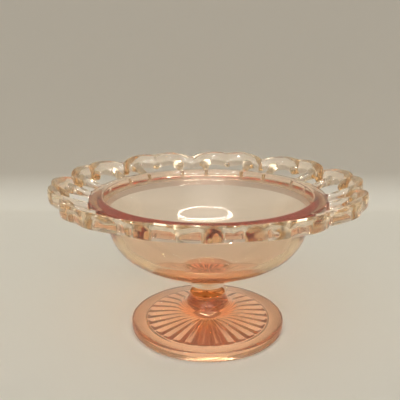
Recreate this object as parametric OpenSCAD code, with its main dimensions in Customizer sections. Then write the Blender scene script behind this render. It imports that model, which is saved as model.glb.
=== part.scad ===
// Footed glass candy dish with an openwork lace border, in millimetres.
// The origin is under the dish's centre, on the table, and +Z is the dish's axis.

/* [Bowl] */
// Rise of the bowl's underside for each millimetre outwards, from the collar to the shoulder
cone_slope = 0.5; // [0.48:0.01:0.52]
// Radius of the bowl's shoulder, on the outside
shoulder_r = 26.6; // [25:0.2:28]
// Angle of the wall above the shoulder, from the horizontal
wall_turn = 71; // [70:0.5:72]
// Thickness of the glass along the cone and the shoulder
wall = 4.8; // [4:0.1:5]
// Height of the flat floor inside the bowl
floor_z = 36.5; // [36:0.1:38]
// Radius of the bowl's opening at its inner edge
mouth_r = 59.7; // [59:0.1:60]
// Height of that inner edge
mouth_z = 83; // [82:0.1:84]

/* [Lace border] */
// Rise of the lace's top for each millimetre outwards from the band, whose own top is flat
top_slope = 0.35; // [0.3:0.01:0.4]
// Radius where the bowl's wall ends and the border starts
joint_r = 61.5; // [61:0.1:62]
// Height of the border's underside where it leaves the bowl
under_z = 76; // [75:0.5:78]
// Rise of the border's underside for each millimetre outwards
under_slope = 0.24; // [0.2:0.01:0.28]
// Outer radius of the plain band inside the lace
band_r = 67.5; // [66:0.1:69]
// Number of scallops round the edge
scallops = 10; // [10]
// Radius of each of the two lobes that make a scallop
lobe_r = 21; // [20:0.1:22]
// Distance of a lobe's centre from the dish's axis
lobe_centre_r = 67.9; // [67:0.1:69]
// Angle between a scallop's middle and each lobe's centre
lobe_turn = 6; // [5:0.1:7]
// Angle between a notch and the strut beside it
strut_turn = 7.25; // [7:0.05:7.5]
// Width of a strut at its tip, on the band
strut_tip = 2.2; // [2:0.1:3]
// Width of a strut's root, in the scalloped edge
strut_root = 9; // [8:0.1:10]
// Width of the scalloped edge, across the dish
edge_w = 6.8; // [6:0.1:7.5]
// Extra width of the edge at the cusp in a scallop's middle
cusp_w = 3.5; // [2:0.1:4]

/* [Stem] */
// Radius of the collar under the bowl
collar_r = 10.5; // [10.4:0.1:10.6]
// Height where the collar starts
collar_z = 26.5; // [26:0.1:27]
// Height where the collar meets the bowl
collar_top_z = 29; // [28.5:0.1:29.5]
// Radius of the stem's neck
neck_r = 10.1; // [9.8:0.1:10.3]
// Radius of the hollow curve between the neck and the foot
flare_r = 13.4; // [13:0.1:14]
// Height of that curve's centre
flare_z = 24; // [23.5:0.1:24.5]
// Height where the stem meets the foot
stem_z = 12; // [11:0.5:13]

/* [Foot] */
// Radius of the foot
foot_r = 45.5; // [44:0.5:48]
// Height of the foot's rim
foot_rim_h = 5.7; // [5:0.1:6]
// Rounding of the corner that the foot stands on
foot_round = 2; // [1:0.1:3]
// Radius of the shallow hollow under the foot
hollow_r = 36.2; // [34:0.1:37]
// Depth of that hollow
hollow_h = 2; // [1.5:0.1:2.5]
// Number of moulded rays in the hollow
rays = 30; // [24:2:60]
// Radius where the rays start
ray_inner_r = 6; // [5:0.5:12]
// Height of a ray
ray_h = 1.2; // [0.8:0.1:1.4]

/* [Hidden] */
$fn = 180;

// Small overlap that keeps a cut clear of the face that it removes
cut = 0.1;

// How far the openings' outlines reach into the band, which has its own solid there
cut_in = 2;

// Where the bowl's cone starts, and where its wall meets the border's underside
cone_start = [collar_r, collar_top_z];
wall_top = [joint_r, under_z];
cone_turn = atan(cone_slope);
shoulder = meet(cone_start, cone_turn, wall_top, wall_turn);

// Centre of the shoulder's arc, outside and inside
shoulder_centre = shoulder + shoulder_r / cos((wall_turn - cone_turn) / 2)
  * [-sin((wall_turn + cone_turn) / 2), cos((wall_turn + cone_turn) / 2)];

// Inside, the wall keeps its thickness up to the shoulder and then runs straight to the mouth
mouth = [mouth_r, mouth_z];
inner_shoulder_r = shoulder_r - wall;
inner_cone_start = cone_start + wall * [-sin(cone_turn), cos(cone_turn)];
to_mouth = mouth - shoulder_centre;
inner_wall_turn = atan2(to_mouth[1], to_mouth[0]) + asin(inner_shoulder_r / norm(to_mouth));
inner_shoulder = meet(inner_cone_start, cone_turn, mouth, inner_wall_turn);
floor_edge = meet(inner_cone_start, cone_turn, [0, floor_z], 0);

// Angle of one scallop
scallop_turn = 360 / scallops;

// Half angle of the solids behind the notches
bridge_half_turn = 4.5;

// Angle from a notch to where a strut's solid ends and a scallop's starts
strut_end_turn = 10;

// Angle from a scallop's middle where the edge starts to widen to its cusp
cusp_turn = 8;

// How a strut's width grows from its tip to its root
strut_growth = 1.3;

// Steps along one side of an opening and along its outer side
side_steps = 4;
edge_step = 1.5;

// Radius well outside the border
outside_r = 100;

// Distance of the hollow curve's centre from the axis
flare_centre_r = neck_r + flare_r;

// The foot's top is the line from its rim that just touches the hollow curve
rim_to_centre = [flare_centre_r - foot_r, flare_z - foot_rim_h];
top_line_length = sqrt(pow(norm(rim_to_centre), 2) - pow(flare_r, 2));
top_line_angle = atan2(rim_to_centre[1], rim_to_centre[0]) + asin(flare_r / norm(rim_to_centre));
crown = [foot_r, foot_rim_h] + top_line_length * [cos(top_line_angle), sin(top_line_angle)];

// Share of a ray's pitch that the ray fills
ray_fill = 0.62;

glass = [0.93, 0.66, 0.52, 0.6];
thick_glass = [0.88, 0.5, 0.32, 0.7];
pale_glass = [0.93, 0.78, 0.66, 0.6];

// Heights of the border's top and underside, at a radius
function top_z(r) = mouth_z + top_slope * max(0, r - band_r);
function bottom_z(r) = under_z + under_slope * (r - joint_r);

function polar(r, turn) = r * [cos(turn), sin(turn)];
function unit(v) = v / norm(v);

// Where two lines cross, each given by a point and its angle from the horizontal
function meet(first, first_turn, second, second_turn) =
  let (gap = second - first)
  let (across = gap[0] * sin(second_turn) - gap[1] * cos(second_turn))
  first + across / sin(second_turn - first_turn) * [cos(first_turn), sin(first_turn)];

// Radius of the scalloped outline, at an angle from the nearest notch
function edge_r(turn) =
  let (from_lobe = abs(scallop_turn / 2 - abs(turn)) - lobe_turn)
  lobe_centre_r * cos(from_lobe) + sqrt(pow(lobe_r, 2) - pow(lobe_centre_r * sin(from_lobe), 2));

// Radius of the edge's inner side, which follows the outline and has a cusp in each scallop's middle
function edge_inner_r(turn) =
  let (near_middle = max(0, 1 - (scallop_turn / 2 - abs(turn)) / cusp_turn))
  edge_r(turn) - edge_w - cusp_w * pow(near_middle, 2);

// Half width of a strut, at a share of the way from the band to the edge
function strut_half(share) = (strut_tip + (strut_root - strut_tip) * pow(share, strut_growth)) / 2;

// Angle from the notch of a strut's side. The side is -1 next to the notch and 1 next to the scallop.
function strut_side(r, share, side) = strut_turn + side * asin(strut_half(share) / r);

// Points up a strut's side, from inside the band out to the edge
function side_points(side) =
  let (reach = edge_inner_r(strut_side(edge_inner_r(strut_turn), 1, side)))
  concat(
    [polar(band_r - cut_in, strut_side(band_r, 0, side))],
    [for (i = [0 : side_steps])
      let (share = i / side_steps)
      let (r = band_r + (reach - band_r) * share)
      polar(r, strut_side(r, share, side))]
  );

// Points along the edge's inner side, between two angles
function edge_points(from, to) =
  let (count = ceil(abs(to - from) / edge_step))
  [for (i = [1 : count - 1])
    let (turn = from + (to - from) * i / count)
    polar(edge_inner_r(turn), turn)];

function mirrored(points) = [for (i = [len(points) - 1 : -1 : 0]) [points[i][0], -points[i][1]]];

// Wedge of plan from one angle to another, wide enough for the border
module sector(from, to) {
  polygon([
    [0, 0],
    outside_r * [cos(from), sin(from)],
    outside_r * [cos(to), sin(to)]
  ]);
}

// Copies of the children, one for each scallop
module every_scallop(first = 0) {
  for (i = [0 : scallops - 1])
    rotate(first + i * scallop_turn) children();
}

// What a fillet takes off the corner of an outline
module corner_waste(before, at, after, radius) {
  u = unit(before - at);
  v = unit(after - at);
  half = acos(u * v) / 2;
  centre = at + unit(u + v) * radius / sin(half);
  difference() {
    polygon([
      at + u * radius / tan(half),
      at,
      at + v * radius / tan(half),
      centre
    ]);
    translate(centre) circle(r = radius);
  }
}

// Half section of the bowl, to be turned about the axis
module bowl_section() {
  difference() {
    polygon([
      [0, collar_top_z],
      cone_start,
      shoulder,
      wall_top,
      [joint_r, mouth_z],
      mouth,
      [0, mouth_z]
    ]);
    corner_waste(cone_start, shoulder, wall_top, shoulder_r);
    difference() {
      polygon([
        [0, floor_z],
        floor_edge,
        inner_shoulder,
        mouth,
        [0, mouth_z]
      ]);
      corner_waste(floor_edge, inner_shoulder, mouth, inner_shoulder_r);
    }
  }
}

module bowl() {
  color(glass) rotate_extrude() bowl_section();
}

// Ring of the border between two radii on the same side of the band's outer edge
module border_ring(inner_r, outer_r) {
  rotate_extrude()
    polygon([
      [inner_r, bottom_z(inner_r)],
      [outer_r, bottom_z(outer_r)],
      [outer_r, top_z(outer_r)],
      [inner_r, top_z(inner_r)]
    ]);
}

module rim_band() {
  color(thick_glass) border_ring(joint_r, band_r);
}

// Opening behind a notch, with the notch on the +X axis
module notch_window() {
  side = side_points(-1);
  reach_turn = atan2(side[len(side) - 1][1], side[len(side) - 1][0]);
  polygon(concat(side, edge_points(reach_turn, -reach_turn), mirrored(side)));
}

// Opening behind the scallop that follows the notch on the +X axis
module scallop_window() {
  side = side_points(1);
  reach_turn = atan2(side[len(side) - 1][1], side[len(side) - 1][0]);
  half = concat(side, edge_points(reach_turn, scallop_turn / 2));
  middle = polar(edge_inner_r(scallop_turn / 2), scallop_turn / 2);
  along = [cos(scallop_turn), sin(scallop_turn)];
  across = [-sin(scallop_turn), cos(scallop_turn)];
  other_half = [for (p = mirrored(half)) p[0] * along + p[1] * across];
  polygon(concat(half, [middle], other_half));
}

// Plan of the whole lace: paired lobes round the edge, less the two rows of openings
module lace_plan() {
  difference() {
    union() {
      circle(r = lobe_centre_r);
      every_scallop(scallop_turn / 2)
        for (side = [-1, 1])
          rotate(side * lobe_turn) translate([lobe_centre_r, 0]) circle(r = lobe_r);
    }
    every_scallop() notch_window();
    every_scallop() scallop_window();
  }
}

// The lace within the plan of the children. The ring starts at an angle between its solids.
module lace_part(ring_start = 0) {
  intersection() {
    rotate(ring_start) border_ring(band_r, outside_r);
    translate([0, 0, under_z]) linear_extrude(height = outside_r - under_z)
      intersection() {
        lace_plan();
        children();
      }
  }
}

module lace_struts() {
  color(pale_glass) lace_part()
    every_scallop()
      for (side = [-1, 1])
        sector(side * bridge_half_turn, side * strut_end_turn);
}

module lace_scallops() {
  color(thick_glass) lace_part()
    every_scallop() sector(strut_end_turn, scallop_turn - strut_end_turn);
}

module lace_bridges() {
  color(pale_glass) lace_part(scallop_turn / 2)
    every_scallop() sector(-bridge_half_turn, bridge_half_turn);
}

module stem_collar() {
  color(pale_glass) translate([0, 0, collar_z])
    cylinder(r = collar_r, h = collar_top_z - collar_z);
}

// Half section of the stem and the foot, with one unbroken curve between them
module pedestal_section() {
  difference() {
    polygon([
      [0, 0],
      [foot_r - foot_round, 0],
      [foot_r, foot_round],
      [foot_r, foot_rim_h],
      crown,
      [flare_centre_r, collar_z],
      [0, collar_z]
    ]);
    translate([flare_centre_r, flare_z]) circle(r = flare_r);
  }
  translate([foot_r - foot_round, foot_round]) circle(r = foot_round);
}

module stem() {
  color(glass) rotate_extrude() intersection() {
    pedestal_section();
    translate([0, stem_z]) square([flare_centre_r, collar_z - stem_z]);
  }
}

module foot() {
  color(thick_glass) difference() {
    rotate_extrude() intersection() {
      pedestal_section();
      square([foot_r, stem_z]);
    }
    translate([0, 0, -cut]) cylinder(r = hollow_r, h = hollow_h + cut);
  }
}

// One ray: a bar that widens outwards and ends in a blunt point
module ray() {
  half_inner = ray_inner_r * tan(180 / rays) * ray_fill;
  half_outer = hollow_r * tan(180 / rays) * ray_fill;
  point_r = hollow_r - 0.5;
  full_r = point_r - half_outer;
  linear_extrude(height = ray_h)
    polygon([
      [ray_inner_r, -half_inner],
      [full_r, -half_outer],
      [point_r, 0],
      [full_r, half_outer],
      [ray_inner_r, half_inner]
    ]);
}

module foot_rays() {
  color(glass) translate([0, 0, hollow_h - ray_h])
    for (i = [0 : rays - 1])
      rotate(i * 360 / rays) ray();
}

bowl();
rim_band();
lace_struts();
lace_scallops();
lace_bridges();
stem_collar();
stem();
foot();
foot_rays();
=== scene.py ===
from math import acos, asin, atan2, cos, hypot, pi, radians, sin, sqrt

import bmesh
import bpy
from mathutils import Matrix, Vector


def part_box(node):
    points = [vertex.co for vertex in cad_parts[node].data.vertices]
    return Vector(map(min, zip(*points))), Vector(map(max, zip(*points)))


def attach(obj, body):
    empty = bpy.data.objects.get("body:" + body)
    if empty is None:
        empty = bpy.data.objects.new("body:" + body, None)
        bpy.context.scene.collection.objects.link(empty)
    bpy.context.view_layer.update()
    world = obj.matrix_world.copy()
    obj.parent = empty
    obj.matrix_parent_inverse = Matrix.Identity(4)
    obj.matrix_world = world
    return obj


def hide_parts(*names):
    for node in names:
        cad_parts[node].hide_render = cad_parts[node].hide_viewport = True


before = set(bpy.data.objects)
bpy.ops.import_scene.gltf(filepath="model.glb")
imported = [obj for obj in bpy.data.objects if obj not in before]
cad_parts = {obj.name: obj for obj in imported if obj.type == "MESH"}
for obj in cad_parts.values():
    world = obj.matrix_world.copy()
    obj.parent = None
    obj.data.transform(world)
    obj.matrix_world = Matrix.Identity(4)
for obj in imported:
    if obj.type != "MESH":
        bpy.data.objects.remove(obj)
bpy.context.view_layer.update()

MM = 0.001
# Points closer than this are one point.
WELD = 1e-7

# ---------------------------------------------------------------- driving dimensions

# Read from the frame, in metres.
FOOT_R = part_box("foot")[1].x
FOOT_TOP_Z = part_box("foot")[1].z
STEM_TOP_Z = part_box("stem")[1].z
COLLAR_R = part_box("stem_collar")[1].x
COLLAR_TOP_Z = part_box("stem_collar")[1].z
JOINT_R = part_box("bowl")[1].x
UNDER_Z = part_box("rim_band")[0].z
BAND_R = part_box("rim_band")[1].x

# Bowl
CONE_SLOPE = 0.5
WALL_TURN = radians(71)
SHOULDER_R = 26.6 * MM
WALL = 4.8 * MM
FLOOR_Z = 36.5 * MM
MOUTH_R = 59.7 * MM
MOUTH_Z = 83 * MM
LIP_ROUND = 0.9 * MM
FLOOR_ROUND = 3 * MM

# Lace border. The band's top falls outwards a little, the lace's rises from there.
LAND_SLOPE = 0.12
TOP_SLOPE = 0.384
UNDER_SLOPE = 0.24
UNDER_FILLET = 7 * MM
SCALLOPS = 10
SCALLOP_TURN = 2 * pi / SCALLOPS
LOBE_R = 21 * MM
LOBE_CENTRE_R = 67.9 * MM
LOBE_TURN = radians(6)
STRUT_TURN = radians(7.25)
STRUT_TIP = 2.2 * MM
STRUT_ROOT = 9 * MM
STRUT_GROWTH = 1.3
# Radius, outwards from the band, at which a strut's outer end is laid out
STRUT_REACH = 13 * MM
EDGE_WIDTH = 6.8 * MM
CUSP_WIDTH = 3.5 * MM
CUSP_TURN = radians(8)
BAND_ROUND = 1.2 * MM
SMOOTHING = 2
# How far the corners of the edge's and the struts' sections are drawn in
EDGE_PULL = 0.9 * MM
STRUT_PULL = 0.35
# The edge is highest close to its outer side
EDGE_SHOULDER = 1.4 * MM
EDGE_CROWN = 0.5 * MM

# Stem and foot
NECK_R = 10.1 * MM
FLARE_R = 13.4 * MM
FLARE_Z = 24 * MM
FOOT_RIM_H = 5.7 * MM
FOOT_ROUND = 2 * MM
ARRIS_ROUND = 0.6 * MM
HOLLOW_R = 36.2 * MM
HOLLOW_H = 2 * MM
HOLLOW_ROUND = 0.5 * MM
# How far in the hollow's side leans
HOLLOW_LEAN = 0.4 * MM
RAYS = 30
RAY_INNER_R = 6 * MM
RAY_H = 1.2 * MM
# Space between the rays' outer ends and the hollow's edge
RAY_MARGIN = 1 * MM
# Lengths over which a ray rises at its inner end and falls at its outer end
RAY_RISE = 3 * MM
RAY_FALL = 2.5 * MM
STEPS_PER_RAY = 16
CEILING_STEPS = 48
# How near the ceiling's height a point has to be to carry a ray
RAY_TOLERANCE = 0.1 * MM

# Room left at each joint between two pieces of the same glass
JOINT_GAP = 0.01 * MM
# Thickness within which a point counts as lying at a joint
JOINT_REACH = 0.02 * MM
# Longest steps along a profile's arcs and straight stretches
ARC_STEP = 0.9 * MM
LINE_STEP = 2.7 * MM

# ---------------------------------------------------------------- camera

CAMERA_TURN = radians(10.5)
CAMERA_BACK = 0.306
CAMERA_SIDE = -0.0045
CAMERA_HEIGHT = 0.1602
CAMERA_PITCH = radians(15.05)
CAMERA_LENS = 49.5


def make_camera():
    data = bpy.data.cameras.new("camera")
    data.sensor_width = 36
    data.lens = CAMERA_LENS
    data.clip_start = 0.01
    camera = bpy.data.objects.new("camera", data)
    bpy.context.scene.collection.objects.link(camera)
    camera.location = (
        CAMERA_SIDE * cos(CAMERA_TURN) + CAMERA_BACK * sin(CAMERA_TURN),
        CAMERA_SIDE * sin(CAMERA_TURN) - CAMERA_BACK * cos(CAMERA_TURN),
        CAMERA_HEIGHT,
    )
    camera.rotation_euler = (pi / 2 - CAMERA_PITCH, 0, CAMERA_TURN)
    bpy.context.scene.camera = camera


make_camera()

# ---------------------------------------------------------------- profiles, as (radius, height) points


def arc(centre, radius, start, end):
    """Points along an arc from one angle to another, both included."""
    count = max(2, int(abs(end - start) * radius / ARC_STEP) + 1)
    angles = [start + (end - start) * i / count for i in range(count + 1)]
    return [(centre[0] + radius * cos(a), centre[1] + radius * sin(a)) for a in angles]


def line(start, end):
    """Points along a straight stretch, both ends included."""
    count = max(1, int(hypot(end[0] - start[0], end[1] - start[1]) / LINE_STEP) + 1)
    return [
        (start[0] + (end[0] - start[0]) * i / count, start[1] + (end[1] - start[1]) * i / count)
        for i in range(count + 1)
    ]


def corner(before, at, after, radius):
    """The corner `at` of a path, rounded with a fillet."""
    a = atan2(before[1] - at[1], before[0] - at[0])
    b = atan2(after[1] - at[1], after[0] - at[0])
    opening = (b - a + pi) % (2 * pi) - pi
    reach = radius / abs(sin(opening / 2))
    middle = a + opening / 2
    centre = (at[0] + reach * cos(middle), at[1] + reach * sin(middle))
    side = 1 if opening > 0 else -1
    start = a - side * pi / 2
    return arc(centre, radius, start, start - side * (pi - abs(opening)))


def top_z(r):
    """Height of the border's top at a radius."""
    land = LAND_SLOPE * max(0, min(r, BAND_R) - JOINT_R)
    return MOUTH_Z - land + TOP_SLOPE * max(0, r - BAND_R)


def under_z(r):
    """Height of the border's underside at a radius."""
    return UNDER_Z + UNDER_SLOPE * (r - JOINT_R)


def meet(first, first_turn, second, second_turn):
    """Where two lines cross, each given by a point and a direction."""
    gap = (second[0] - first[0], second[1] - first[1])
    along = gap[0] * sin(second_turn) - gap[1] * cos(second_turn)
    reach = along / sin(second_turn - first_turn)
    return (first[0] + reach * cos(first_turn), first[1] + reach * sin(first_turn))


CONE_TURN = atan2(CONE_SLOPE, 1)
CONE_START = (COLLAR_R, COLLAR_TOP_Z)
WALL_TOP = (JOINT_R, UNDER_Z)
SHOULDER = meet(CONE_START, CONE_TURN, WALL_TOP, WALL_TURN)

# Centre of the shoulder's arc, outside and inside
TO_CENTRE = (CONE_TURN + WALL_TURN + pi) / 2
CENTRE_REACH = SHOULDER_R / cos((WALL_TURN - CONE_TURN) / 2)
SHOULDER_CENTRE = (SHOULDER[0] + CENTRE_REACH * cos(TO_CENTRE), SHOULDER[1] + CENTRE_REACH * sin(TO_CENTRE))

# The inside keeps the wall's thickness along the cone and the shoulder, then runs straight to the mouth.
INNER_CONE_START = (CONE_START[0] - WALL * sin(CONE_TURN), CONE_START[1] + WALL * cos(CONE_TURN))
MOUTH = (MOUTH_R, MOUTH_Z)
TO_MOUTH = (MOUTH[0] - SHOULDER_CENTRE[0], MOUTH[1] - SHOULDER_CENTRE[1])
INNER_WALL_TURN = atan2(TO_MOUTH[1], TO_MOUTH[0]) + asin((SHOULDER_R - WALL) / hypot(*TO_MOUTH))
INNER_SHOULDER = meet(INNER_CONE_START, CONE_TURN, MOUTH, INNER_WALL_TURN)
FLOOR_EDGE = meet(INNER_CONE_START, CONE_TURN, (0, FLOOR_Z), 0)

# Corner between the bowl's outside and the border's underside
UNDER_OUT = (BAND_R, under_z(BAND_R))
UNDER_CURVE = corner(SHOULDER, WALL_TOP, UNDER_OUT, UNDER_FILLET)

# ---------------------------------------------------------------- meshes


def finished(name, bm, joint_test=None):
    """A smooth-shaded object from a bmesh. Faces that meet another piece are marked.
    The edge round the marked faces is sharp."""
    bmesh.ops.remove_doubles(bm, verts=bm.verts, dist=WELD)
    bmesh.ops.recalc_face_normals(bm, faces=bm.faces)
    layer = bm.faces.layers.float.get("joint_face") or bm.faces.layers.float.new("joint_face")
    for face in bm.faces:
        face.smooth = True
        if joint_test is not None:
            face[layer] = 1.0 if joint_test(face) else 0.0
    for edge in bm.edges:
        if len({face[layer] > 0.5 for face in edge.link_faces}) > 1:
            edge.smooth = False
    mesh = bpy.data.meshes.new(name)
    bm.to_mesh(mesh)
    bm.free()
    piece = bpy.data.objects.new(name, mesh)
    bpy.context.scene.collection.objects.link(piece)
    return piece


def turned(name, stretches, steps=240, relief=None):
    """A closed solid of revolution. `stretches` are (is_joint, points) pairs.
    They run from the axis and back to it. `relief(r, z, angle)` may change a point's height."""
    bm = bmesh.new()
    layer = bm.faces.layers.float.new("joint_face")
    rings, flags = [], []
    for is_joint, points in stretches:
        for k, (r, z) in enumerate(points):
            if rings and k == 0 and hypot(rings[-1][0] - r, rings[-1][1] - z) < WELD:
                continue
            if rings:
                flags.append(is_joint)
            rings.append((r, z))
    made = []
    for r, z in rings:
        if r < WELD:
            made.append([bm.verts.new((0, 0, z))])
            continue
        ring = []
        for i in range(steps):
            angle = 2 * pi * i / steps
            height = relief(r, z, angle) if relief else z
            ring.append(bm.verts.new((r * cos(angle), r * sin(angle), height)))
        made.append(ring)
    for low, high, is_joint in zip(made, made[1:], flags):
        for i in range(steps):
            j = (i + 1) % steps
            if len(low) == 1:
                corners = (low[0], high[i], high[j])
            elif len(high) == 1:
                corners = (low[i], low[j], high[0])
            else:
                corners = (low[i], low[j], high[j], high[i])
            face = bm.faces.new(corners)
            face[layer] = 1.0 if is_joint else 0.0
    return finished(name, bm)


# ---------------------------------------------------------------- bowl


def make_bowl():
    bottom_z = COLLAR_TOP_Z + JOINT_GAP
    start = (COLLAR_R + (bottom_z - COLLAR_TOP_Z) / CONE_SLOPE, bottom_z)
    shoulder = corner(CONE_START, SHOULDER, WALL_TOP, SHOULDER_R)
    seam_end = UNDER_CURVE[0]
    outside = line(start, shoulder[0]) + shoulder[1:-1] + line(shoulder[-1], seam_end)
    joint_r = JOINT_R - JOINT_GAP
    land_edge = (joint_r, MOUTH_Z)
    joint = [seam_end, (joint_r, UNDER_Z), land_edge]
    inner_shoulder = corner(MOUTH, INNER_SHOULDER, FLOOR_EDGE, SHOULDER_R - WALL)
    lip = corner(land_edge, MOUTH, inner_shoulder[0], LIP_ROUND)
    floor_corner = corner(inner_shoulder[-1], FLOOR_EDGE, (0, FLOOR_Z), FLOOR_ROUND)
    return turned(
        "bowl",
        [
            (True, line((0, bottom_z), start)),
            (False, outside),
            (True, joint),
            (False, line(land_edge, lip[0])),
            (False, lip),
            (False, line(lip[-1], inner_shoulder[0])),
            (False, inner_shoulder),
            (False, line(inner_shoulder[-1], floor_corner[0])),
            (False, floor_corner),
            (False, line(floor_corner[-1], (0, FLOOR_Z))),
        ],
    )


# ---------------------------------------------------------------- lace border


def edge_outer(angle):
    """Radius of the scalloped edge's outline, at an angle from the nearest notch."""
    turn = abs(SCALLOP_TURN / 2 - abs(angle)) - LOBE_TURN
    return LOBE_CENTRE_R * cos(turn) + sqrt(LOBE_R**2 - (LOBE_CENTRE_R * sin(turn)) ** 2)


def edge_inner(angle):
    """Radius of the edge's inner side, which follows the outline and has a cusp in each scallop's middle."""
    near_middle = max(0, 1 - (SCALLOP_TURN / 2 - abs(angle)) / CUSP_TURN)
    return edge_outer(angle) - EDGE_WIDTH - CUSP_WIDTH * near_middle**2


# Where the cage's rows lie across the band, as (top radius, bottom radius). None means a point of the fillet.
BAND_ROWS = [
    (JOINT_R, None),
    (JOINT_R + 0.9 * MM, None),
    (JOINT_R + 2.8 * MM, None),
    (BAND_R - BAND_ROUND, BAND_R - BAND_ROUND),
    (BAND_R, BAND_R),
]
# Rows across the openings, as shares of the way from the band to the edge
OPEN_ROWS = (0.14, 0.5, 0.86)
# Places across a strut, as shares of its half width
STRUT_PLACES = (-1, 0, 1)
# Places across half a scallop's opening and half a notch's, as shares of the way to the middle
SCALLOP_PLACES = (0.12, 0.36, 0.68, 0.9, 1)
NOTCH_PLACES = (0.22, 0.6, 1)


def half_columns():
    """Columns of the cage from a notch to the next scallop's middle, as (kind, share)."""
    notch = [("notch", share) for share in reversed(NOTCH_PLACES)]
    strut = [("strut", place) for place in STRUT_PLACES]
    scallop = [("scallop", share) for share in SCALLOP_PLACES]
    return notch + strut + scallop


def make_lace():
    """The band, the struts and the edge in one: a cage of quads, then smoothed. Rows run outwards."""
    half = half_columns()
    columns = []
    for n in range(SCALLOPS):
        base = n * SCALLOP_TURN
        columns += [(base, 1, kind, share) for kind, share in half]
        columns += [(base + SCALLOP_TURN, -1, kind, share) for kind, share in reversed(half)][1:-1]
    count = len(columns)
    band = len(BAND_ROWS) - 1
    inner = band + len(OPEN_ROWS) + 1
    last = inner + 3

    def strut_half(t):
        """Half the width of a strut, at a share of the way out from the band."""
        return (STRUT_TIP + (STRUT_ROOT - STRUT_TIP) * max(0, min(1, t)) ** STRUT_GROWTH) / 2

    def local_angle(kind, share, t, r, narrow):
        """Angle of a column from its notch. `narrow` scales the strut's width."""
        side = strut_half(t) / r
        if kind == "strut":
            return STRUT_TURN + share * side * narrow
        if kind == "notch":
            return (STRUT_TURN - side * narrow) * (1 - share)
        return STRUT_TURN + side * narrow + (SCALLOP_TURN / 2 - STRUT_TURN - side * narrow) * share

    last_turn = len(UNDER_CURVE) - 1
    fillet = [UNDER_CURVE[0], UNDER_CURVE[last_turn // 2], UNDER_CURVE[last_turn]]

    def band_place(row, level):
        """Radius and height of a cage point on the band."""
        top_r, low_r = BAND_ROWS[row]
        low = fillet[row] if low_r is None else (low_r, under_z(low_r))
        high = (top_r, top_z(top_r))
        if row == 0 and level == 0.5:
            return JOINT_R, UNDER_Z
        return low[0] + (high[0] - low[0]) * level, low[1] + (high[1] - low[1]) * level

    def place(column, row, level):
        """Position of a cage point. The sections' corners, at levels 0 and 1, are drawn in."""
        base, sign, kind, share = column
        at_corner = level in (0, 1)
        narrow = 1 - STRUT_PULL if at_corner and row > band else 1
        if row <= band:
            r, z = band_place(row, level)
            return base + sign * local_angle(kind, share, 0, BAND_R, 1), r, z
        rough = local_angle(kind, share, 1, BAND_R + STRUT_REACH, 1)
        start, end = edge_inner(rough), edge_outer(rough)
        if row < inner:
            t = OPEN_ROWS[row - band - 1]
            r = BAND_R + (start - BAND_R) * t
            angle = local_angle(kind, share, t, r, narrow)
        else:
            r = (start, (start + end) / 2, end - EDGE_SHOULDER, end)[row - inner]
            angle = rough
        low, high = under_z(r), top_z(r)
        if row > inner:
            high += EDGE_CROWN
        elif at_corner and not (kind == "strut" and share == 0):
            low += EDGE_PULL
            high -= EDGE_PULL
            r += EDGE_PULL * (row == inner)
        if at_corner and row == last:
            r -= EDGE_PULL / 2
        return base + sign * angle, r, low + (high - low) * level

    def solid(i, row):
        """Whether the cell between columns i and i+1, rows row and row+1, is glass."""
        if row < band or row >= inner:
            return True
        kinds = {columns[i][2], columns[(i + 1) % count][2]}
        return kinds == {"strut"}

    bm = bmesh.new()
    points = {}

    def point(i, row, level):
        key = (i % count, row, level)
        if key not in points:
            angle, r, z = place(columns[i % count], row, level)
            points[key] = bm.verts.new((r * cos(angle), r * sin(angle), z))
        return points[key]

    levels = (0, 0.5, 1)

    def wall(a, b):
        for low, high in zip(levels, levels[1:]):
            bm.faces.new([point(*a, low), point(*b, low), point(*b, high), point(*a, high)])

    for row in range(last):
        for i in range(count):
            if not solid(i, row):
                continue
            for level in (0, 1):
                bm.faces.new(
                    [
                        point(i, row, level),
                        point(i + 1, row, level),
                        point(i + 1, row + 1, level),
                        point(i, row + 1, level),
                    ]
                )
            if row == 0:
                wall((i, row), (i + 1, row))
            if row == last - 1 or not solid(i, row + 1):
                wall((i, row + 1), (i + 1, row + 1))
            if row > 0 and not solid(i, row - 1):
                wall((i, row), (i + 1, row))
            if not solid((i - 1) % count, row):
                wall((i, row), (i, row + 1))
            if not solid((i + 1) % count, row):
                wall((i + 1, row), (i + 1, row + 1))

    bmesh.ops.recalc_face_normals(bm, faces=bm.faces)
    crease = bm.edges.layers.float.new("crease_edge")

    def is_joint(face):
        """Whether a face looks inwards at the bowl."""
        centre = face.calc_center_median()
        r = hypot(centre.x, centre.y)
        faces_in = face.normal.dot(centre) < -r / 2
        return r < JOINT_R + JOINT_REACH and centre.z > UNDER_CURVE[0][1] and faces_in

    for edge in bm.edges:
        level = abs(edge.verts[0].co.z - edge.verts[1].co.z) < JOINT_GAP
        if level and any(is_joint(face) for face in edge.link_faces):
            edge[crease] = 1.0
    spread = 1 + JOINT_GAP / JOINT_R
    for vert in bm.verts:
        if hypot(vert.co.x, vert.co.y) < JOINT_R + JOINT_REACH:
            vert.co.x *= spread
            vert.co.y *= spread
    cage = finished("lace_border", bm)
    smooth = cage.modifiers.new("moulded", "SUBSURF")
    smooth.levels = smooth.render_levels = SMOOTHING
    smooth.boundary_smooth = "ALL"
    depsgraph = bpy.context.evaluated_depsgraph_get()
    fine = bmesh.new()
    fine.from_object(cage, depsgraph)
    bpy.data.objects.remove(cage)
    return finished("lace_border", fine, is_joint)


# ---------------------------------------------------------------- stem and foot

FLARE_CENTRE = (NECK_R + FLARE_R, FLARE_Z)


def flare_angle(z):
    """Angle, seen from the flare's centre, of its point at that height."""
    return pi + acos(sqrt(1 - ((FLARE_Z - z) / FLARE_R) ** 2))


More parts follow.
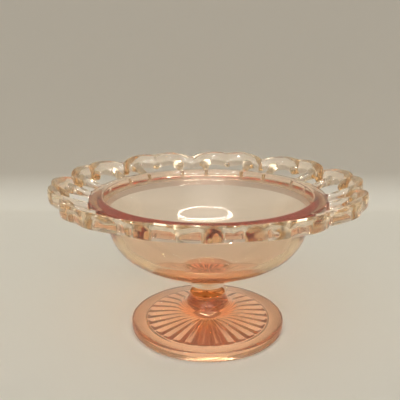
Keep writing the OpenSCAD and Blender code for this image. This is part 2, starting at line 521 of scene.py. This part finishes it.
def make_collar():
    low, high = STEM_TOP_Z + JOINT_GAP, COLLAR_TOP_Z - JOINT_GAP
    neck = FLARE_CENTRE[0] - sqrt(FLARE_R**2 - (FLARE_Z - low) ** 2)
    step = COLLAR_R - neck
    return turned(
        "stem_collar",
        [
            (True, line((0, low), (neck, low))),
            (False, arc((neck, low + step), step, -pi / 2, 0)),
            (False, line((COLLAR_R, low + step), (COLLAR_R, high))),
            (True, line((COLLAR_R, high), (0, high))),
        ],
    )


def make_stem():
    low, high = FOOT_TOP_Z + JOINT_GAP, STEM_TOP_Z - JOINT_GAP
    side = arc(FLARE_CENTRE, FLARE_R, flare_angle(low), flare_angle(high))
    return turned(
        "stem",
        [
            (True, line((0, low), side[0])),
            (False, side),
            (True, line(side[-1], (0, high))),
        ],
    )


def ray_relief(r, z, angle):
    """Lowers the hollow's ceiling where a ray runs. Each ray is a rounded ridge that ends in a blunt point."""
    outer_r = HOLLOW_R - RAY_MARGIN
    if not RAY_INNER_R < r < outer_r or abs(z - HOLLOW_H) > RAY_TOLERANCE:
        return z
    across = abs(cos(RAYS * angle / 2))
    rise = min(1, (r - RAY_INNER_R) / RAY_RISE)
    fall = min(1, (outer_r - r) / RAY_FALL)
    end = sqrt(rise * (2 - rise)) * sqrt(fall * (2 - fall))
    return z - RAY_H * across * end


def make_foot():
    joint_z = FOOT_TOP_Z - JOINT_GAP
    rim = (FOOT_R, FOOT_RIM_H)
    to_centre = (FLARE_CENTRE[0] - rim[0], FLARE_CENTRE[1] - rim[1])
    away = hypot(*to_centre)
    line_turn = atan2(to_centre[1], to_centre[0]) + atan2(FLARE_R, sqrt(away**2 - FLARE_R**2))
    flare_end = line_turn + pi / 2
    flare = arc(FLARE_CENTRE, FLARE_R, flare_angle(joint_z), flare_end)
    crown = flare[-1]
    arris = corner(crown, rim, (FOOT_R, 0), ARRIS_ROUND)
    base = corner((FOOT_R, FOOT_RIM_H), (FOOT_R, 0), (0, 0), FOOT_ROUND)
    hollow_corner = (HOLLOW_R - HOLLOW_LEAN, HOLLOW_H)
    hollow_edge = corner((FOOT_R, 0), (HOLLOW_R, 0), hollow_corner, HOLLOW_ROUND)
    hollow_top = corner((HOLLOW_R, 0), hollow_corner, (0, HOLLOW_H), HOLLOW_ROUND)
    ceiling_start = hollow_top[-1][0]
    ceiling = [(ceiling_start * (1 - i / CEILING_STEPS), HOLLOW_H) for i in range(CEILING_STEPS + 1)]
    return turned(
        "foot",
        [
            (True, line((0, joint_z), flare[0])),
            (False, flare),
            (False, line(crown, arris[0])[1:-1]),
            (False, arris),
            (False, base),
            (False, hollow_edge),
            (False, hollow_top),
            (False, ceiling),
        ],
        steps=RAYS * STEPS_PER_RAY,
        relief=ray_relief,
    )


# ---------------------------------------------------------------- materials


GLASS_INDEX = 1.5
# An index of 1 bends no light, so a joint doesn't show.
JOINT_INDEX = 1.0
RIPPLE_SCALE = 90
RIPPLE_DETAIL = 3
RIPPLE_ROUGHNESS = 0.55
PAPER_ROUGHNESS = 0.9


def new_material(name):
    material = bpy.data.materials.new(name)
    material.use_nodes = True
    nodes = material.node_tree.nodes
    nodes.clear()
    return material, nodes, material.node_tree.links


def make_glass(name, skin, depth_tint, density, wave, roughness, haze):
    """Pale peach glass that turns orange with depth. Where two pieces meet, light passes straight on.
    The surface is a little wavy, as pressed glass is, and has a faint haze."""
    material, nodes, links = new_material(name)
    output = nodes.new("ShaderNodeOutputMaterial")
    surface = nodes.new("ShaderNodeBsdfPrincipled")
    surface.inputs["Base Color"].default_value = skin
    surface.inputs["Roughness"].default_value = roughness
    place = nodes.new("ShaderNodeTexCoord")
    ripple = nodes.new("ShaderNodeTexNoise")
    ripple.inputs["Scale"].default_value = RIPPLE_SCALE
    ripple.inputs["Detail"].default_value = RIPPLE_DETAIL
    ripple.inputs["Roughness"].default_value = RIPPLE_ROUGHNESS
    bump = nodes.new("ShaderNodeBump")
    bump.inputs["Strength"].default_value = 1
    bump.inputs["Distance"].default_value = wave
    links.new(place.outputs["Object"], ripple.inputs["Vector"])
    links.new(ripple.outputs["Fac"], bump.inputs["Height"])
    links.new(bump.outputs["Normal"], surface.inputs["Normal"])
    joint = nodes.new("ShaderNodeAttribute")
    joint.attribute_name = "joint_face"
    index = nodes.new("ShaderNodeMapRange")
    index.inputs["To Min"].default_value = GLASS_INDEX
    index.inputs["To Max"].default_value = JOINT_INDEX
    links.new(joint.outputs["Fac"], index.inputs["Value"])
    links.new(index.outputs["Result"], surface.inputs["IOR"])
    clear = nodes.new("ShaderNodeMapRange")
    clear.inputs["To Min"].default_value = 1 - haze
    clear.inputs["To Max"].default_value = 1.0
    links.new(joint.outputs["Fac"], clear.inputs["Value"])
    links.new(clear.outputs["Result"], surface.inputs["Transmission Weight"])
    depth = nodes.new("ShaderNodeVolumeAbsorption")
    depth.inputs["Color"].default_value = depth_tint
    depth.inputs["Density"].default_value = density
    links.new(surface.outputs["BSDF"], output.inputs["Surface"])
    links.new(depth.outputs["Volume"], output.inputs["Volume"])
    return material


def make_paper():
    """Paper in the table's colour, which darkens to a painted shade over the bend where it rises, on top of the
    real fall of light there.
    Under the foot it is painted whiter and glows a little, as painted light."""
    material, nodes, links = new_material("pale_sweep")
    output = nodes.new("ShaderNodeOutputMaterial")
    surface = nodes.new("ShaderNodeBsdfPrincipled")
    surface.inputs["Roughness"].default_value = PAPER_ROUGHNESS
    place = nodes.new("ShaderNodeTexCoord")
    axes = nodes.new("ShaderNodeSeparateXYZ")
    painted_shade_climb = nodes.new("ShaderNodeMapRange")
    painted_shade_climb.inputs["From Min"].default_value = 0
    painted_shade_climb.inputs["From Max"].default_value = SWEEP_BEND
    # Painted shade: the paper darkens over the bend into its upright part.
    shade = nodes.new("ShaderNodeMix")
    shade.data_type = "RGBA"
    shade.inputs["B"].default_value = UPRIGHT_PAINTED_SHADE_COLOUR
    middle = nodes.new("ShaderNodeVectorMath")
    middle.operation = "LENGTH"
    near = nodes.new("ShaderNodeMapRange")
    near.interpolation_type = "SMOOTHSTEP"
    near.inputs["From Min"].default_value = PAINTED_WHITE_INNER_R
    near.inputs["From Max"].default_value = PAINTED_WHITE_OUTER_R
    # Painted light: the paper is whiter under the foot.
    table = nodes.new("ShaderNodeMix")
    table.data_type = "RGBA"
    table.inputs["A"].default_value = TABLE_PAINTED_LIGHT_COLOUR
    table.inputs["B"].default_value = TABLE_COLOUR
    links.new(place.outputs["Object"], middle.inputs[0])
    links.new(middle.outputs["Value"], near.inputs["Value"])
    links.new(near.outputs["Result"], table.inputs["Factor"])
    links.new(table.outputs["Result"], shade.inputs["A"])
    links.new(place.outputs["Object"], axes.inputs["Vector"])
    links.new(axes.outputs["Z"], painted_shade_climb.inputs["Value"])
    links.new(painted_shade_climb.outputs["Result"], shade.inputs["Factor"])
    links.new(shade.outputs["Result"], surface.inputs["Base Color"])
    # Painted light: the paper glows under the foot, though it is no lamp.
    painted_glow = nodes.new("ShaderNodeMapRange")
    painted_glow.interpolation_type = "SMOOTHSTEP"
    painted_glow.inputs["From Min"].default_value = PAINTED_GLOW_INNER_R
    painted_glow.inputs["From Max"].default_value = PAINTED_GLOW_OUTER_R
    painted_glow.inputs["To Min"].default_value = TABLE_PAINTED_GLOW
    painted_glow.inputs["To Max"].default_value = 0
    links.new(middle.outputs["Value"], painted_glow.inputs["Value"])
    surface.inputs["Emission Color"].default_value = TABLE_PAINTED_LIGHT_COLOUR
    links.new(painted_glow.outputs["Result"], surface.inputs["Emission Strength"])
    links.new(surface.outputs["BSDF"], output.inputs["Surface"])
    return material


# ---------------------------------------------------------------- stage and light

# The set is laid out as the camera faces it: x to its right, y away from it.
# The sheet lies a hair under the foot, as air does under a foot that isn't quite flat.
SHEET_Z = -0.1 * MM
SWEEP_FRONT = -1.5
SWEEP_BACK = 0.275
SWEEP_BEND = 0.035
SWEEP_HEIGHT = 1.4
SWEEP_HALF_WIDTH = 1.6
BEND_STEPS = 16
TABLE_COLOUR = (0.8, 0.775, 0.69, 1)
# Under the foot the paper is painted whiter and given a faint glow, though it is no lamp.
# This painted light stands in for the light that the real glass gathers there and lifts the dish's shadow.
TABLE_PAINTED_LIGHT_COLOUR = (0.95, 0.93, 0.86, 1)
TABLE_PAINTED_GLOW = 0.26
# Radii between which the painted white and the painted glow fade out
PAINTED_WHITE_INNER_R = 35 * MM
PAINTED_WHITE_OUTER_R = 55 * MM
PAINTED_GLOW_INNER_R = 34 * MM
PAINTED_GLOW_OUTER_R = 42 * MM
# The paper is painted darker where it stands upright, as painted shade on top of the real fall of light there.
UPRIGHT_PAINTED_SHADE_COLOUR = (0.595, 0.56, 0.497, 1)

# All the light is slightly warm.
LIGHT_COLOUR = (1.0, 0.97, 0.92, 1)
# A ring lamp overhead and in front, which shows as a ring on the bowl's back wall
RING_LAMP_CENTRE = (0.11, -1.17, 1.5)
RING_LAMP_R = 0.97
RING_LAMP_WIDTH = 0.025
RING_GLOW = 95
# A small lamp above and behind the camera
SMALL_LAMP_CENTRE = (0, -1.9, 1.2)
SMALL_LAMP_R = 0.014
SMALL_GLOW = 40
# The room's light, from the horizon up
HORIZON_GLOW = 0.2
ZENITH_GLOW = 0.46
# A wide soft light on the camera's side, half way up. It fades out where the cosine from its middle is FRONT_EDGE.
FRONT_GLOW = 1.7
FRONT_TURN = radians(52)
FRONT_EDGE = 0.75


def staged(name, mesh, material):
    """A piece of the set, turned to face the camera."""
    piece = bpy.data.objects.new(name, mesh)
    piece.rotation_euler.z = CAMERA_TURN
    bpy.context.scene.collection.objects.link(piece)
    mesh.materials.append(material)
    return piece


def make_sweep(material):
    """Sheet that lies flat under the dish and curves up behind it."""
    path = [(SWEEP_FRONT, SHEET_Z), (SWEEP_BACK - SWEEP_BEND, SHEET_Z)]
    for i in range(1, BEND_STEPS + 1):
        turn = pi / 2 * i / BEND_STEPS
        path.append((SWEEP_BACK - SWEEP_BEND * (1 - sin(turn)), SHEET_Z + SWEEP_BEND * (1 - cos(turn))))
    path.append((SWEEP_BACK, SWEEP_HEIGHT))
    bm = bmesh.new()
    rows = [[bm.verts.new((x, y, z)) for x in (-SWEEP_HALF_WIDTH, SWEEP_HALF_WIDTH)] for y, z in path]
    for low, high in zip(rows, rows[1:]):
        face = bm.faces.new((low[0], low[1], high[1], high[0]))
        face.smooth = True
    mesh = bpy.data.meshes.new("sweep")
    bm.to_mesh(mesh)
    bm.free()
    staged("sweep", mesh, material)


def make_ring(name, centre, outer, inner, material, steps=96):
    """Flat glowing ring that shows in and through the glass but doesn't light the paper.
    An inner radius of 0 makes a disc."""
    bm = bmesh.new()
    rims = []
    for radius in (outer, inner):
        if radius == 0:
            rims.append([bm.verts.new(centre)] * steps)
            continue
        turns = [2 * pi * i / steps for i in range(steps)]
        rims.append(
            [bm.verts.new((centre[0] + radius * cos(t), centre[1] + radius * sin(t), centre[2])) for t in turns]
        )
    for i in range(steps):
        j = (i + 1) % steps
        corners = [rims[0][i], rims[1][i], rims[1][j], rims[0][j]]
        bm.faces.new(list(dict.fromkeys(corners)))
    mesh = bpy.data.meshes.new(name)
    bm.to_mesh(mesh)
    bm.free()
    ring = staged(name, mesh, material)
    ring.visible_diffuse = False


def make_glow(name, strength):
    material, nodes, links = new_material(name)
    output = nodes.new("ShaderNodeOutputMaterial")
    glow = nodes.new("ShaderNodeEmission")
    glow.inputs["Color"].default_value = LIGHT_COLOUR
    glow.inputs["Strength"].default_value = strength
    links.new(glow.outputs["Emission"], output.inputs["Surface"])
    return material


def make_world():
    """Soft light from all round the room, brighter from above and most from the camera's side."""
    world = bpy.data.worlds.new("room")
    bpy.context.scene.world = world
    world.use_nodes = True
    nodes, links = world.node_tree.nodes, world.node_tree.links
    background = nodes["Background"]
    background.inputs["Color"].default_value = LIGHT_COLOUR
    place = nodes.new("ShaderNodeTexCoord")
    axes = nodes.new("ShaderNodeSeparateXYZ")
    glow = nodes.new("ShaderNodeMapRange")
    glow.inputs["From Min"].default_value = 0
    glow.inputs["From Max"].default_value = 1
    glow.inputs["To Min"].default_value = HORIZON_GLOW
    glow.inputs["To Max"].default_value = ZENITH_GLOW
    facing = nodes.new("ShaderNodeVectorMath")
    facing.operation = "DOT_PRODUCT"
    level = cos(FRONT_TURN)
    facing.inputs[1].default_value = (sin(CAMERA_TURN) * level, -cos(CAMERA_TURN) * level, sin(FRONT_TURN))
    front = nodes.new("ShaderNodeMapRange")
    front.interpolation_type = "SMOOTHSTEP"
    front.inputs["From Min"].default_value = FRONT_EDGE
    front.inputs["From Max"].default_value = 1
    front.inputs["To Max"].default_value = FRONT_GLOW
    both = nodes.new("ShaderNodeMath")
    links.new(place.outputs["Generated"], axes.inputs["Vector"])
    links.new(axes.outputs["Z"], glow.inputs["Value"])
    links.new(place.outputs["Generated"], facing.inputs[0])
    links.new(facing.outputs["Value"], front.inputs["Value"])
    links.new(glow.outputs["Result"], both.inputs[0])
    links.new(front.outputs["Result"], both.inputs[1])
    links.new(both.outputs["Value"], background.inputs["Strength"])


# ---------------------------------------------------------------- the dish

# Glass where the light's path is long. The foot, which is thickest, is a little redder.
DEPTH_TINT = (0.93, 0.62, 0.0, 1)
FOOT_DEPTH_TINT = (0.93, 0.55, 0.0, 1)
bowl_glass = make_glass("bowl_peach", (1, 0.93, 0.93, 1), DEPTH_TINT, 46, 0.02 * MM, 0, 0.02)
border_glass = make_glass("border_peach", (1, 0.95, 0.94, 1), DEPTH_TINT, 30, 0.1 * MM, 0.05, 0.04)
stem_glass = make_glass("stem_peach", (1, 0.88, 0.8, 1), DEPTH_TINT, 17, 0.04 * MM, 0, 0.06)
foot_glass = make_glass("foot_peach", (1, 0.87, 0.8, 1), FOOT_DEPTH_TINT, 50, 0.04 * MM, 0.14, 0.07)
PIECES = [
    (make_bowl, bowl_glass, ["bowl"], "bowl_glass"),
    (make_lace, border_glass, ["rim_band", "lace_struts", "lace_scallops", "lace_bridges"], "border_glass"),
    (make_collar, stem_glass, ["stem_collar"], "foot_glass"),
    (make_stem, stem_glass, ["stem"], "foot_glass"),
    (make_foot, foot_glass, ["foot", "foot_rays"], "foot_glass"),
]
for make, glass, nodes, slot in PIECES:
    piece = make()
    piece.data.materials.append(glass)
    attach(piece, "root")
    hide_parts(*nodes)

make_sweep(make_paper())
ring_outer = RING_LAMP_R + RING_LAMP_WIDTH / 2
ring_inner = RING_LAMP_R - RING_LAMP_WIDTH / 2
make_ring("ring_lamp", RING_LAMP_CENTRE, ring_outer, ring_inner, make_glow("ring_glow", RING_GLOW))
make_ring("small_lamp", SMALL_LAMP_CENTRE, SMALL_LAMP_R, 0, make_glow("small_glow", SMALL_GLOW))
make_world()

scene = bpy.context.scene
scene.view_settings.view_transform = "Standard"
scene.cycles.max_bounces = 64
scene.cycles.transmission_bounces = 64
scene.cycles.glossy_bounces = 24
scene.cycles.sample_clamp_indirect = 0
scene.cycles.use_denoising = True
